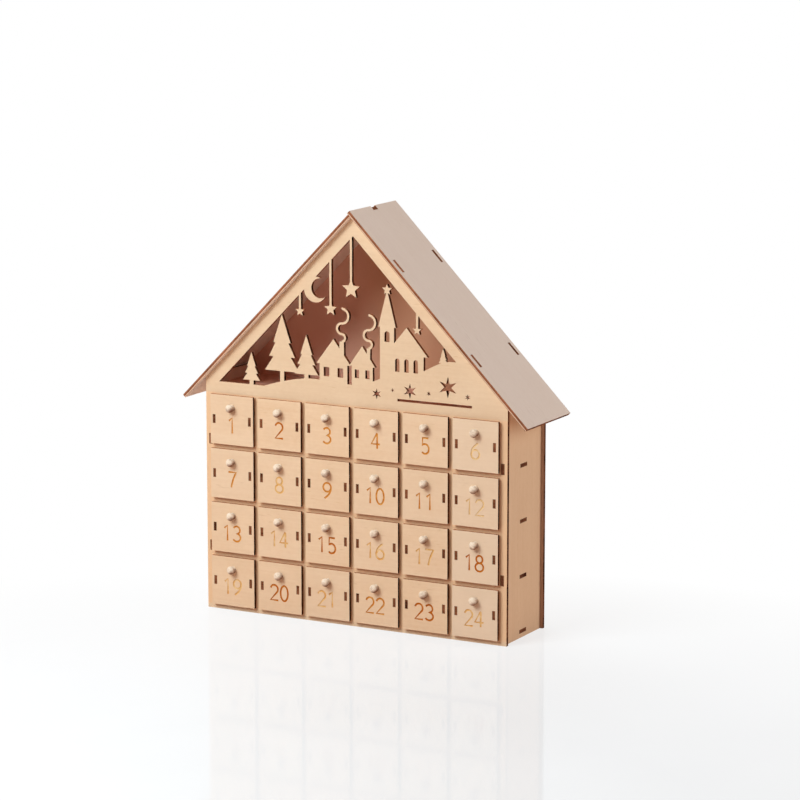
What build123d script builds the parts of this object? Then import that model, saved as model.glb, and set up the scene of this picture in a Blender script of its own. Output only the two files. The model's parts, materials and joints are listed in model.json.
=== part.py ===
from build123d import *
import math
import os

# Advent calendar: a plywood house with 24 drawers, joined by tabs and slots.
# Millimetres and degrees. X runs to the right, Y to the back, Z up.

# House
RIDGE_HEIGHT = 285.0
ROOF_WIDTH = 265.0
ROOF_DEPTH = 65.0
ROOF_PITCH = 45.5
RIDGE_LIP = 1.0        # right roof panel past the left one's outer face
EAVES = 16.5           # roof past the front panel's edge, on each side
ROOF_OVERHANG = 3.7    # roof past the front and back panels' faces
PLY = 2.5              # board of the house
SIDE_INSET = 2.2       # side panel in from the front panel's edge
FLOOR_LIP = 3.1        # gap under the bottom board
ATTIC_DROP = 5.3       # attic floor below the top of the wall
COLUMNS = 6
ROWS = 4

# Tabs and slots of the house
JOINT_FIT = 0.1        # gap round a tab and between boards that meet
TAB_SHY = 0.15         # tab's end below the face that it shows on
ROOF_TAB = 10.6
ROOF_TAB_SHARES = (0.277, 0.777)  # of the gable's slope, from the ridge
RIDGE_TAB = 6.0
SIDE_TAB = 7.2
SIDE_TAB_SHARES = (0.274, 0.738)  # of the wall's height
SHELF_TAB = 10.0
DIVIDER_TAB = 9.0

# Drawers
DRAWER_PLY = 2.0       # board of the drawers
FRONT_GAP_ACROSS = 3.6   # between neighbouring fronts in a row
FRONT_GAP_DOWN = 3.4     # between neighbouring fronts in a column
FRONT_DROP = 1.9       # front's lower edge below its compartment's floor
TRAY_INSET = 1.85      # tray's side in from the front's edge
TRAY_HEADROOM = 3.6    # tray's rim below the front's upper edge
TRAY_LIP = 1.5         # tray's sides past its bottom board
FRONT_TAB = 6.0
BACK_TAB = 9.0
BOTTOM_TAB = 12.0
SLIDE_GAP = 0.2        # under a tray
WINDOW_EASE = 0.4      # beside and above a tray in its window
FACE_GAP = 1.1         # behind a front, with the drawer not quite pushed home
BACK_EASE = 1.6        # behind a tray

# Knobs
KNOB_DROP = 8.6        # knob's axis below the front's upper edge
KNOB_REACH = 5.2       # front's face to the knob's tip
KNOB_BALL = 5.8
KNOB_NECK = 3.2
KNOB_COLLAR = 4.0
KNOB_COLLAR_HEIGHT = 0.35
KNOB_NECK_HEIGHT = 0.6   # narrowest place above the front's face
KNOB_PEG = 2.4
KNOB_SIDES = 8           # flats round a turned knob
PEG_SIDES = 6
BALL_TURNS = (-42, 6, 54)   # latitudes of the ball's rings

# Pierced gable
GABLE_BORDER = 9.0     # frame along the slopes
SILL_RISE = 3.3        # opening's sill above the attic floor
FRET_BAR = 1.6         # thinnest bar of the fretwork
STAR_POINTS = 5
FROST_POINTS = 6

# Overrun of cuts past the board
OVERRUN = 1.0

# Worked out from the sizes above
pitch_sin = math.sin(math.radians(ROOF_PITCH))
pitch_cos = math.cos(math.radians(ROOF_PITCH))
pitch_tan = math.tan(math.radians(ROOF_PITCH))
roof_slope = ROOF_WIDTH / 2 / pitch_cos
body_width = ROOF_WIDTH - 2 * EAVES          # across the front panel
body_depth = ROOF_DEPTH - 2 * ROOF_OVERHANG   # front panel's face to back panel's face
slopes_meet = RIDGE_HEIGHT - RIDGE_LIP * pitch_sin   # outer roof faces cross here
gable_top = slopes_meet - (PLY + JOINT_FIT) / pitch_cos
wall_height = gable_top - body_width / 2 * pitch_tan
gable_slope = body_width / 2 / pitch_cos
gable_start = (PLY + JOINT_FIT) * pitch_tan   # gable's top below the ridge, along the roof
ridge_tab_start = PLY * max(pitch_tan, 1 / math.sin(math.radians(2 * ROOF_PITCH))) + JOINT_FIT
side_outer = body_width / 2 - SIDE_INSET
side_inner = side_outer - PLY
column_pitch = (2 * side_inner + PLY) / COLUMNS
row_pitch = (wall_height - ATTIC_DROP - FLOOR_LIP - PLY) / ROWS
attic_top = FLOOR_LIP + PLY + ROWS * row_pitch

front_width = column_pitch - FRONT_GAP_ACROSS
front_height = row_pitch - FRONT_GAP_DOWN
tray_width = front_width - 2 * TRAY_INSET
tray_height = front_height - FRONT_DROP - TRAY_HEADROOM - SLIDE_GAP
tray_depth = body_depth - PLY - BACK_EASE
window_width = tray_width + 2 * WINDOW_EASE
window_height = SLIDE_GAP + tray_height + WINDOW_EASE

# The origin is under the middle of the whole box, from the knobs' tips to the roof's back edge.
knob_tip = FACE_GAP + DRAWER_PLY + KNOB_REACH
face_y = (knob_tip - body_depth - ROOF_OVERHANG) / 2   # front panel's face
middle_y = face_y + body_depth / 2

sill = attic_top + SILL_RISE
opening_top = gable_top - GABLE_BORDER / pitch_cos
opening_height = opening_top - sill
opening_half = opening_height / pitch_tan


def rect(x0, x1, y0, y1):
    return Pos((x0 + x1) / 2, (y0 + y1) / 2) * Rectangle(x1 - x0, y1 - y0)


def facing_board(outline, depth, thickness):
    """Board parallel to the front, its face this far behind the front panel's face."""
    back = face_y + depth + thickness
    return extrude(Plane.XZ.offset(-back) * outline, amount=thickness)


def upright_board(outline, x, thickness):
    """Board parallel to the sides, drawn by depth behind the front panel's face and by height."""
    plane = Plane(origin=(x, face_y, 0), x_dir=(0, 1, 0), z_dir=(1, 0, 0))
    return extrude(plane * outline, amount=thickness)


def level_board(outline, z, thickness):
    """Board that lies level, drawn by X and by depth behind the front panel's face."""
    return extrude(Plane(origin=(0, face_y, z)) * outline, amount=thickness)


def column_x(column):
    return (column - (COLUMNS - 1) / 2) * column_pitch


def floor_z(row):
    """Upper face of the board under a row, with row 0 at the top."""
    return FLOOR_LIP + PLY + (ROWS - 1 - row) * row_pitch


def divider_xs():
    return [(column_x(i) + column_x(i + 1)) / 2 for i in range(COLUMNS - 1)]


# Front and back panels

def house_outline():
    """Gable wall with the tabs that come through the roof."""
    half = body_width / 2
    outline = Polygon(
        (-half, 0), (half, 0), (half, wall_height), (0, gable_top), (-half, wall_height), align=None
    )
    tab_rise = PLY + JOINT_FIT - TAB_SHY
    for side in (-1, 1):
        for share in ROOF_TAB_SHARES:
            along = share * gable_slope
            tab = Pos(along, (tab_rise - OVERRUN) / 2) * Rectangle(ROOF_TAB, tab_rise + OVERRUN)
            slope = Pos(0, gable_top) * Rot(0, 0, -ROOF_PITCH)
            outline += (slope * tab) if side > 0 else mirror(slope * tab, about=Plane.YZ)
    for side in (-1, 1):
        for share in SIDE_TAB_SHARES:
            place = Pos(side * (side_outer + side_inner) / 2, share * wall_height)
            outline -= place * Rectangle(PLY + 2 * JOINT_FIT, SIDE_TAB + 2 * JOINT_FIT)
    return outline


def windows():
    cuts = []
    for row in range(ROWS):
        for column in range(COLUMNS):
            place = Pos(column_x(column), floor_z(row) + window_height / 2)
            cuts.append(place * Rectangle(window_width, window_height))
    return cuts


# Fretwork: a winter village in the gable. Places are shares of the opening's half width and height,
# and sizes are shares of its height.
HILL_SHARES = (
    (-0.66, 0.0), (-0.5, 0.045), (-0.3, 0.075), (-0.08, 0.06), (0.12, 0.085),
    (0.3, 0.15), (0.46, 0.17), (0.6, 0.235), (0.78, 0.255),
)
FIR_SHARES = ((-0.755, 0.0, 0.21), (-0.525, 0.05, 0.42), (-0.345, 0.06, 0.29), (0.645, 0.235, 0.105))
FIR_TIERS = 4
FIR_SPREAD_SHARE = 0.3       # lowest boughs' half width, of the fir's height
FIR_TRUNK_SHARE = 0.13
FIR_NOTCH_SHARE = 0.5        # where a tier starts, of the width of the tier below
COTTAGE_SHARES = ((-0.145, 0.06, 0.2, 0.13, 0.15), (0.065, 0.07, 0.15, 0.12, 0.12))
NAVE_SHARES = (0.385, 0.14, 0.24, 0.15, 0.16)    # place, then width, wall and roof
TOWER_SHARES = (0.245, 0.1, 0.1, 0.35, 0.23)
HOUSE_EAVES_SHARES = (0.12, 0.06)   # past the wall and below its top, of the house's width
CHIMNEY_SHARES = (0.3, 0.08, 0.92)   # place and half width, of the house's width, and top, of its roof
SMOKE_SHARE = 0.024
SMOKE_GROWTH = 1.4           # each ring's radius, over the one below
SMOKE_RINGS = 3
PANE_SHARES = ((-0.25, 0.3), (0.25, 0.3))   # of the house's width and of its wall
PANE_SIZE_SHARES = (0.2, 0.45)
LANCET_SHARES = ((-0.27, 0.2), (0, 0.2), (0.27, 0.2))
LANCET_SIZE_SHARES = (0.13, 0.45)
BELFRY_SHARES = (0, 0.72)
BELFRY_SIZE_SHARES = (0.36, 0.14)
STEEPLE_STAR_SHARE = 0.036
HANGING_STAR_SHARES = (
    (-0.015, 0.665, 0.064), (-0.165, 0.53, 0.046), (-0.39, 0.5, 0.034), (0.46, 0.44, 0.032),
)
STAR_WAIST_SHARE = 0.45
MOON_SHARES = (-0.275, 0.645, 0.082)
MOON_BITE_SHARE = 0.78
MOON_SHIFT_SHARES = (0.42, 0.12)
FROST_SHARES = (
    (0.17, 0.018, 0.036), (0.41, 0.055, 0.05), (0.68, 0.1, 0.068),
    (0.285, 0.05, 0.014), (0.545, 0.05, 0.017), (0.82, 0.05, 0.02),
)
FROST_WAIST_SHARE = 0.36
SLOT_SHARES = (0.32, 0.85, -0.017)
SLOT_HEIGHT_SHARE = 0.016


def gable_place(x_share, z_share):
    return x_share * opening_half, sill + z_share * opening_height


def opening():
    return Polygon((-opening_half, sill), (opening_half, sill), (0, opening_top), align=None)


def hill():
    tops = [gable_place(*shares) for shares in HILL_SHARES]
    below = sill - SILL_RISE
    crest = Spline(*tops)
    right = [(opening_half, tops[-1][1]), (opening_half, below)]
    return make_face(crest + Polyline(tops[-1], *right, (tops[0][0], below), tops[0]))


def fir(x, z, height):
    """Tiers of boughs, each narrower than the one below, on a trunk that stands in the snow."""
    trunk = FIR_TRUNK_SHARE * height
    spread = FIR_SPREAD_SHARE * height
    tier = (height - trunk) / FIR_TIERS
    right = []
    for i in range(FIR_TIERS):
        reach = spread * (FIR_TIERS - i) / FIR_TIERS
        waist = FIR_NOTCH_SHARE * reach if i + 1 < FIR_TIERS else 0
        right += [(reach, trunk + tier * i), (waist, trunk + tier * (i + 1))]
    left = [(-px, pz) for px, pz in reversed(right[:-1])]
    boughs = Polygon(*right, *left, align=None)
    stem = rect(-FRET_BAR, FRET_BAR, -SILL_RISE, trunk + tier)
    return Pos(x, z) * (boughs + stem)


def house(width, wall, roof):
    """Walls that stand in the snow under a pitched roof with eaves."""
    reach = (1 / 2 + HOUSE_EAVES_SHARES[0]) * width
    eaves = wall - HOUSE_EAVES_SHARES[1] * width
    top = Polygon((-reach, eaves), (reach, eaves), (0, wall + roof), align=None)
    return rect(-width / 2, width / 2, -SILL_RISE, wall) + top


def pane(place_shares, size_shares, width, wall, arched):
    """Window of a house, with a round head where it is arched."""
    half = size_shares[0] * width / 2
    low = place_shares[1] * wall
    high = low + size_shares[1] * wall
    x = place_shares[0] * width
    glass = rect(x - half, x + half, low, high)
    return glass + Pos(x, high) * Circle(half) if arched else glass


def smoke(x, z, radius):
    """Curl of half rings, turned to the right and to the left by turns."""
    curl = Sketch()
    side = 1
    for _ in range(SMOKE_RINGS):
        ring = Circle(radius + FRET_BAR / 2) - Circle(radius - FRET_BAR / 2)
        reach = radius + FRET_BAR
        half = rect(0, reach, -reach, reach) if side > 0 else rect(-reach, 0, -reach, reach)
        curl += Pos(x, z + radius) * (ring & half)
        z += 2 * radius
        radius *= SMOKE_GROWTH
        side = -side
    return curl


def cottage(x, z, width, wall, roof):
    """House with two windows and a chimney that smokes."""
    chimney_x, chimney_half = (share * width for share in CHIMNEY_SHARES[:2])
    chimney_top = wall + CHIMNEY_SHARES[2] * roof
    walls = house(width, wall, roof)
    walls += rect(chimney_x - chimney_half, chimney_x + chimney_half, wall, chimney_top)
    walls += smoke(chimney_x, chimney_top, SMOKE_SHARE * opening_height)
    walls -= [pane(shares, PANE_SIZE_SHARES, width, wall, False) for shares in PANE_SHARES]
    return Pos(x, z) * walls


def nave(x, z, width, wall, roof):
    panes = [pane(shares, LANCET_SIZE_SHARES, width, wall, True) for shares in LANCET_SHARES]
    return Pos(x, z) * (house(width, wall, roof) - panes)


def tower(x, z, width, wall, spire):
    """Church tower with a belfry window and a star on its spire."""
    walls = house(width, wall, spire) - pane(BELFRY_SHARES, BELFRY_SIZE_SHARES, width, wall, True)
    walls += star(0, wall + spire, STEEPLE_STAR_SHARE * opening_height, STAR_POINTS, STAR_WAIST_SHARE)
    return Pos(x, z) * walls


def star(x, z, radius, points, waist_share):
    corners = []
    for i in range(2 * points):
        reach = radius if i % 2 == 0 else waist_share * radius
        turn = math.pi * i / points
        corners.append((x + reach * math.sin(turn), z + reach * math.cos(turn)))
    return Polygon(*corners, align=None)


def hanging_star(x, z, radius):
    """Star on a bar that hangs from the slope above it."""
    slope_z = opening_top - abs(x) * pitch_tan + GABLE_BORDER / 2
    bar = rect(x - FRET_BAR / 2, x + FRET_BAR / 2, z, slope_z)
    return star(x, z, radius, STAR_POINTS, STAR_WAIST_SHARE) + bar


def moon(x, z, radius):
    bite = Pos(x + MOON_SHIFT_SHARES[0] * radius, z + MOON_SHIFT_SHARES[1] * radius)
    return Pos(x, z) * Circle(radius) - bite * Circle(MOON_BITE_SHARE * radius)


def placed(shares):
    """Place and sizes of a motif: two shares of the opening, then shares of its height."""
    return (*gable_place(shares[0], shares[1]), *(share * opening_height for share in shares[2:]))


def fretwork():
    """What is cut out of the gable."""
    picture = Sketch() + [hill(), moon(*placed(MOON_SHARES))]
    picture += [fir(*placed(shares)) for shares in FIR_SHARES]
    picture += [cottage(*placed(shares)) for shares in COTTAGE_SHARES]
    picture += [nave(*placed(NAVE_SHARES)), tower(*placed(TOWER_SHARES))]
    picture += [hanging_star(*placed(shares)) for shares in HANGING_STAR_SHARES]
    cut = opening() - picture
    cut += [star(*placed(shares), FROST_POINTS, FROST_WAIST_SHARE) for shares in FROST_SHARES]
    x0, z0 = gable_place(SLOT_SHARES[0], SLOT_SHARES[2])
    x1 = gable_place(SLOT_SHARES[1], 0)[0]
    cut += rect(x0, x1, z0, z0 + SLOT_HEIGHT_SHARE * opening_height)
    return cut


def front_panel():
    return facing_board(house_outline() - windows() - fretwork(), 0, PLY)


def back_panel():
    return facing_board(house_outline(), body_depth - PLY, PLY)


# Sides, shelves and dividers

def side_panel(side):
    top = gable_top - side_outer * pitch_tan
    front = PLY + JOINT_FIT
    back = body_depth - front
    outline = rect(front, back, 0, top)
    for share in SIDE_TAB_SHARES:
        outline += Pos(body_depth / 2, share * wall_height) * Rectangle(body_depth - 2 * TAB_SHY, SIDE_TAB)
    for i in range(ROWS + 1):
        place = Pos(body_depth / 2, FLOOR_LIP + PLY / 2 + i * row_pitch)
        outline -= place * Rectangle(SHELF_TAB + 2 * JOINT_FIT, PLY + 2 * JOINT_FIT)
    return upright_board(outline, side_inner if side > 0 else -side_outer, PLY)


def shelf(level):
    """Level board, 0 at the bottom. The inner ones are notched for the dividers, the outer ones slotted."""
    reach = side_inner - JOINT_FIT
    front = PLY + JOINT_FIT
    back = body_depth - front
    outline = rect(-reach, reach, front, back)
    outline += Pos(0, body_depth / 2) * Rectangle(2 * (side_outer - TAB_SHY), SHELF_TAB)
    slot = PLY / 2 + JOINT_FIT
    for x in divider_xs():
        if 0 < level < ROWS:
            outline -= rect(x - slot, x + slot, body_depth / 2, back + OVERRUN)
        else:
            outline -= Pos(x, body_depth / 2) * Rectangle(2 * slot, DIVIDER_TAB + 2 * JOINT_FIT)
    return level_board(outline, FLOOR_LIP + level * row_pitch, PLY)


def divider(x):
    front = PLY + JOINT_FIT
    back = body_depth - front
    bottom = FLOOR_LIP + PLY
    top = attic_top - PLY - JOINT_FIT
    outline = rect(front, back, bottom, top)
    tab = Rectangle(DIVIDER_TAB, attic_top - FLOOR_LIP - 2 * TAB_SHY)
    outline += Pos(body_depth / 2, (attic_top + FLOOR_LIP) / 2) * tab
    slot = PLY / 2 + JOINT_FIT
    for level in range(1, ROWS):
        z = FLOOR_LIP + PLY / 2 + level * row_pitch
        outline -= rect(front - OVERRUN, body_depth / 2, z - slot, z + slot)
    return upright_board(outline, x - PLY / 2, PLY)


# Roof

def roof_slots():
    """Slots for the gable tabs, drawn down the slope from the ridge and across the depth."""
    row = body_depth / 2 - PLY / 2
    slots = []
    for share in ROOF_TAB_SHARES:
        for y in (-row, row):
            slot = Rectangle(ROOF_TAB + 2 * JOINT_FIT, PLY + 2 * JOINT_FIT)
            slots.append(Pos(gable_start + share * gable_slope, y) * slot)
    return slots


def roof_plane(side):
    return Plane(
        origin=(0, middle_y, slopes_meet),
        x_dir=(side * pitch_cos, 0, -pitch_sin),
        z_dir=(side * pitch_sin, 0, pitch_cos),
    )


def right_roof_panel():
    """Its upper end covers the left panel, whose tab it takes in a notch."""
    outline = rect(-RIDGE_LIP, roof_slope, -ROOF_DEPTH / 2, ROOF_DEPTH / 2) - roof_slots()
    tab_room = RIDGE_TAB / 2 + JOINT_FIT
    outline -= rect(-RIDGE_LIP - OVERRUN, ridge_tab_start, -tab_room, tab_room)
    return extrude(roof_plane(1) * outline, amount=-PLY)


def left_roof_panel():
    """Its upper edge butts against the underside of the right panel."""
    outline = rect(ridge_tab_start, roof_slope, -ROOF_DEPTH / 2, ROOF_DEPTH / 2) - roof_slots()
    outline += rect(TAB_SHY, ridge_tab_start + OVERRUN, -RIDGE_TAB / 2, RIDGE_TAB / 2)
    return extrude(roof_plane(-1) * outline, amount=-PLY)


# Drawers, drawn in the middle column with the compartment's floor at height zero

def drawer_front():
    """Overlay front with slots for the tray's sides and a hole for the knob's peg."""
    middle = front_height / 2 - FRONT_DROP
    outline = Pos(0, middle) * Rectangle(front_width, front_height)
    for side in (-1, 1):
        place = Pos(side * (tray_width - DRAWER_PLY) / 2, middle)
        outline -= place * Rectangle(DRAWER_PLY + 2 * JOINT_FIT, FRONT_TAB + 2 * JOINT_FIT)
    outline -= Pos(0, knob_height()) * RegularPolygon(KNOB_PEG / 2 + JOINT_FIT, PEG_SIDES)
    return facing_board(outline, -FACE_GAP - DRAWER_PLY, DRAWER_PLY)


def knob_height():
    return front_height - FRONT_DROP - KNOB_DROP


def tray_bottom_height():
    return SLIDE_GAP + TRAY_LIP


def tray_side(side):
    front = JOINT_FIT - FACE_GAP
    back = tray_depth - DRAWER_PLY - JOINT_FIT
    middle = front_height / 2 - FRONT_DROP
    outline = rect(front, back, SLIDE_GAP, SLIDE_GAP + tray_height)
    outline += rect(
        TAB_SHY - FACE_GAP - DRAWER_PLY, front + OVERRUN, middle - FRONT_TAB / 2, middle + FRONT_TAB / 2
    )
    outline += rect(back - OVERRUN, tray_depth - TAB_SHY, middle - BACK_TAB / 2, middle + BACK_TAB / 2)
    slot = Pos(tray_depth / 2, tray_bottom_height() + DRAWER_PLY / 2)
    outline -= slot * Rectangle(BOTTOM_TAB + 2 * JOINT_FIT, DRAWER_PLY + 2 * JOINT_FIT)
    return upright_board(outline, tray_width / 2 - DRAWER_PLY if side > 0 else -tray_width / 2, DRAWER_PLY)


def tray_back():
    middle = front_height / 2 - FRONT_DROP
    outline = rect(-tray_width / 2, tray_width / 2, SLIDE_GAP, SLIDE_GAP + tray_height)
    for side in (-1, 1):
        notch = Rectangle(2 * (DRAWER_PLY + JOINT_FIT), BACK_TAB + 2 * JOINT_FIT)
        outline -= Pos(side * tray_width / 2, middle) * notch
    return facing_board(outline, tray_depth - DRAWER_PLY, DRAWER_PLY)


def tray_bottom():
    reach = tray_width / 2 - DRAWER_PLY - JOINT_FIT
    outline = rect(-reach, reach, JOINT_FIT - FACE_GAP, tray_depth - DRAWER_PLY - JOINT_FIT)
    outline += Pos(0, tray_depth / 2) * Rectangle(tray_width - 2 * TAB_SHY, BOTTOM_TAB)
    return level_board(outline, tray_bottom_height(), DRAWER_PLY)


def faceted(rings):
    """Solid of flat faces through level rings of corners, each given by its height and radius."""
    turns = [2 * math.pi * i / KNOB_SIDES for i in range(KNOB_SIDES)]
    loops = [[(r * math.cos(turn), r * math.sin(turn), height) for turn in turns] for height, r in rings]
    outlines = [loops[0], loops[-1]]
    for low, high in zip(loops, loops[1:]):
        outlines += [(low[i - 1], low[i], high[i], high[i - 1]) for i in range(KNOB_SIDES)]
    return Solid(Shell([Face(Wire.make_polygon(outline)) for outline in outlines]))


def knob():
    """Turned ball on a neck and a collar, with a peg through the front."""
    ball = KNOB_BALL / 2
    centre = KNOB_REACH - ball * math.sin(math.radians(BALL_TURNS[-1]))
    rings = [(0, KNOB_COLLAR / 2), (KNOB_COLLAR_HEIGHT, KNOB_COLLAR / 2), (KNOB_NECK_HEIGHT, KNOB_NECK / 2)]
    for turn in BALL_TURNS:
        angle = math.radians(turn)
        rings.append((centre + ball * math.sin(angle), ball * math.cos(angle)))
    turned = faceted(rings)
    peg = extrude(RegularPolygon(KNOB_PEG / 2, PEG_SIDES), amount=-(DRAWER_PLY - TAB_SHY))
    seat = Plane(
        origin=(0, face_y - FACE_GAP - DRAWER_PLY, knob_height()), x_dir=(1, 0, 0), z_dir=(0, -1, 0)
    )
    return seat * (turned + peg)


def save(name, *solids):
    export_step(solids[0] if len(solids) == 1 else Compound(children=list(solids)), f"parts/{name}.step")


def main():
    os.makedirs("parts", exist_ok=True)
    save("front_panel", front_panel())
    save("back_panel", back_panel())
    save("left_side_panel", side_panel(-1))
    save("right_side_panel", side_panel(1))
    levels = ("bottom_board", "lower_shelf", "middle_shelf", "upper_shelf", "attic_floor")
    for level, name in enumerate(levels):
        save(name, shelf(level))
    save("dividers", *(divider(x) for x in divider_xs()))
    save("left_roof_panel", left_roof_panel())
    save("right_roof_panel", right_roof_panel())

    boards = (drawer_front(), tray_side(-1), tray_side(1), tray_back(), tray_bottom())
    turned = knob()
    for row in range(ROWS):
        for column in range(COLUMNS):
            number = row * COLUMNS + column + 1
            place = Pos(column_x(column), 0, floor_z(row))
            save(f"drawer_{number:02}", *(place * board for board in boards))
            save(f"knob_{number:02}", place * turned)


main()
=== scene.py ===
# %% [markdown]
# # A plywood advent calendar with 24 drawers
#
# The house is made of laser-cut plywood boards that hold each other by tabs and slots. The packed
# model already has every board at its true size, so this lesson gives the boards their wood, turns
# the knobs, engraves the numerals and lights the whole as a studio picture.

# %% Load the frame
import json
import math
import random
from collections import namedtuple

import bmesh
import bpy
from mathutils import Matrix, Vector


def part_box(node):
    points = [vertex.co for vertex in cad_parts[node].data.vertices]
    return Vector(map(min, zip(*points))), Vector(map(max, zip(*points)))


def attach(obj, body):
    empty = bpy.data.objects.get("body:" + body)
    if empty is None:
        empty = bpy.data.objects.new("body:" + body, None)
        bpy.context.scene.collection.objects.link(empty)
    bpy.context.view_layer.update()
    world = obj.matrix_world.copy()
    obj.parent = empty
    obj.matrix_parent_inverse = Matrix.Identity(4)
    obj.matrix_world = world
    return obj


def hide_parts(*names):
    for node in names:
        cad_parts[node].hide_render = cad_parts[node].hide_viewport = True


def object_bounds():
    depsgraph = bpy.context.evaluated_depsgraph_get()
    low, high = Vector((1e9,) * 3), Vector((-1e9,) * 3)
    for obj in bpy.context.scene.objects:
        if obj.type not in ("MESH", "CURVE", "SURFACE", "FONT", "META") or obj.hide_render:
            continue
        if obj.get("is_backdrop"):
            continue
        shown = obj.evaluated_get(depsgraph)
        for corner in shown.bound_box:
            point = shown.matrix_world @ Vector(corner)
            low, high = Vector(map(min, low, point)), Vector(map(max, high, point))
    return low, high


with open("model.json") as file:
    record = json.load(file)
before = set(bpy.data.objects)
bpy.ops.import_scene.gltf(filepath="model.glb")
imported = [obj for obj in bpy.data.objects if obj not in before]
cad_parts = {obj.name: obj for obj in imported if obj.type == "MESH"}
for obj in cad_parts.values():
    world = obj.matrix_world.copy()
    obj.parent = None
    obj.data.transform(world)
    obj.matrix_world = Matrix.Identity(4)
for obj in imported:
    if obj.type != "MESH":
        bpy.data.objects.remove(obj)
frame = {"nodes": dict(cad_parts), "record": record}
cad_low, cad_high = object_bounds()
house_middle = (cad_low + cad_high) / 2
nodes = frame["nodes"]
drawer_names = sorted(name for name in nodes if name.startswith("drawer_"))
house_names = list(frame["record"]["behaviour"]["bodies"]["house"])
print("nodes of the house:", len(house_names), "drawers:", len(drawer_names))
print("size in mm:", [round(1000 * side, 1) for side in cad_high - cad_low])

# %% [markdown]
# ## Small helpers for node trees
#
# A finish is a tree of nodes. Writing each node as one call keeps the trees readable: the call names
# the kind of node, what feeds its inputs and how it is set. A feed is a socket or a plain value. An
# effect that several finishes share is a node group, made once and placed in each of them.

# %% Nodes and groups
def feed(tree, socket, value):
    """Links a socket to another one, or sets its value."""
    if isinstance(value, bpy.types.NodeSocket):
        tree.links.new(value, socket)
    else:
        socket.default_value = value


def node(tree, kind, feeds=None, **settings):
    """Adds a node, sets it up, and feeds its inputs by name or by number."""
    made = tree.nodes.new(kind)
    for key, value in settings.items():
        setattr(made, key, value)
    for key, value in (feeds or {}).items():
        feed(tree, made.inputs[key], value)
    return made


def new_group(name, kind, inputs, outputs):
    """Empty node group with named sockets, and its two end nodes."""
    tree = bpy.data.node_groups.new(name, kind)
    for title, socket in inputs:
        tree.interface.new_socket(title, in_out="INPUT", socket_type=socket)
    for title, socket in outputs:
        tree.interface.new_socket(title, in_out="OUTPUT", socket_type=socket)
    return tree, tree.nodes.new("NodeGroupInput").outputs, tree.nodes.new("NodeGroupOutput").inputs


# %% Sums, colours and noise
NOISE_RANGE = (0.3, 0.7)   # that most of a noise lies in


def sums(tree, operation, *values):
    """Result of a Math node."""
    return node(tree, "ShaderNodeMath", dict(enumerate(values)), operation=operation).outputs[0]


def vectors(tree, operation, *values, result="Vector"):
    """Result of a Vector Math node."""
    made = node(tree, "ShaderNodeVectorMath", dict(enumerate(values)), operation=operation)
    return made.outputs[result]


def span(tree, value, low, high, to_low=0.0, to_high=1.0):
    """Value carried from one range to another, and held inside it."""
    feeds = {"Value": value, "From Min": low, "From Max": high, "To Min": to_low, "To Max": to_high}
    return node(tree, "ShaderNodeMapRange", feeds).outputs["Result"]


def blended(tree, amount, first, second):
    """Colour between two, by an amount from 0 to 1."""
    made = node(tree, "ShaderNodeMix", data_type="RGBA")
    for socket, value in zip([s for s in made.inputs if s.enabled], (amount, first, second)):
        feed(tree, socket, value)
    return next(s for s in made.outputs if s.enabled)


def noise(tree, vector, scale, detail=3.0, roughness=0.55):
    """Noise from 0 to 1, stretched by three scales in patterns a metre."""
    stretched = vectors(tree, "MULTIPLY", vector, scale)
    feeds = {"Vector": stretched, "Scale": 1.0, "Detail": detail, "Roughness": roughness}
    return node(tree, "ShaderNodeTexNoise", feeds).outputs["Fac"]


def colour(hex_code):
    """Linear colour of a display colour such as EBCBA8."""
    parts = [int(hex_code[i:i + 2], 16) / 255 for i in (0, 2, 4)]
    linear = [p / 12.92 if p <= 0.04045 else ((p + 0.055) / 1.055) ** 2.4 for p in parts]
    return (*linear, 1.0)


print("middle grey in linear light:", round(colour("808080")[0], 3))

# %% [markdown]
# ## The veneer
#
# The boards are thin basswood plywood, sanded and left bare. Basswood is almost plain: a pale tan with
# fine fibres, broad soft bands, and a few short brown flecks, all drawn out along the grain. A photo
# texture would show this too, but it would be one board repeated. Noise stretched along the grain
# gives every board its own stretch of wood, so the effect is one shader group that all boards share.

# %% Veneer group
# Patterns a metre, along the grain and in the two directions across it
FIBRE_SCALE = (22.0, 620.0, 620.0)
BAND_SCALE = (7.0, 75.0, 75.0)
CLOUD_SCALE = (26.0, 34.0, 34.0)
MOTTLE_SCALE = (300.0, 420.0, 420.0)
FLECK_SCALE = (110.0, 820.0, 820.0)
FLECK_PATCH_SCALE = (30.0, 45.0, 45.0)
TONE_SHARES = (0.32, 0.26, 0.2, 0.22)   # of fibres, bands, clouds and mottle
TONE_RANGE = (0.34, 0.66)               # of their sum, from the dark wood to the light
FLECK_RANGE, FLECK_PATCH_RANGE = (0.66, 0.76), (0.5, 0.72)
FLECK_DEPTH = 0.4
VENEER_ROUGHNESS = (0.56, 0.7)


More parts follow.
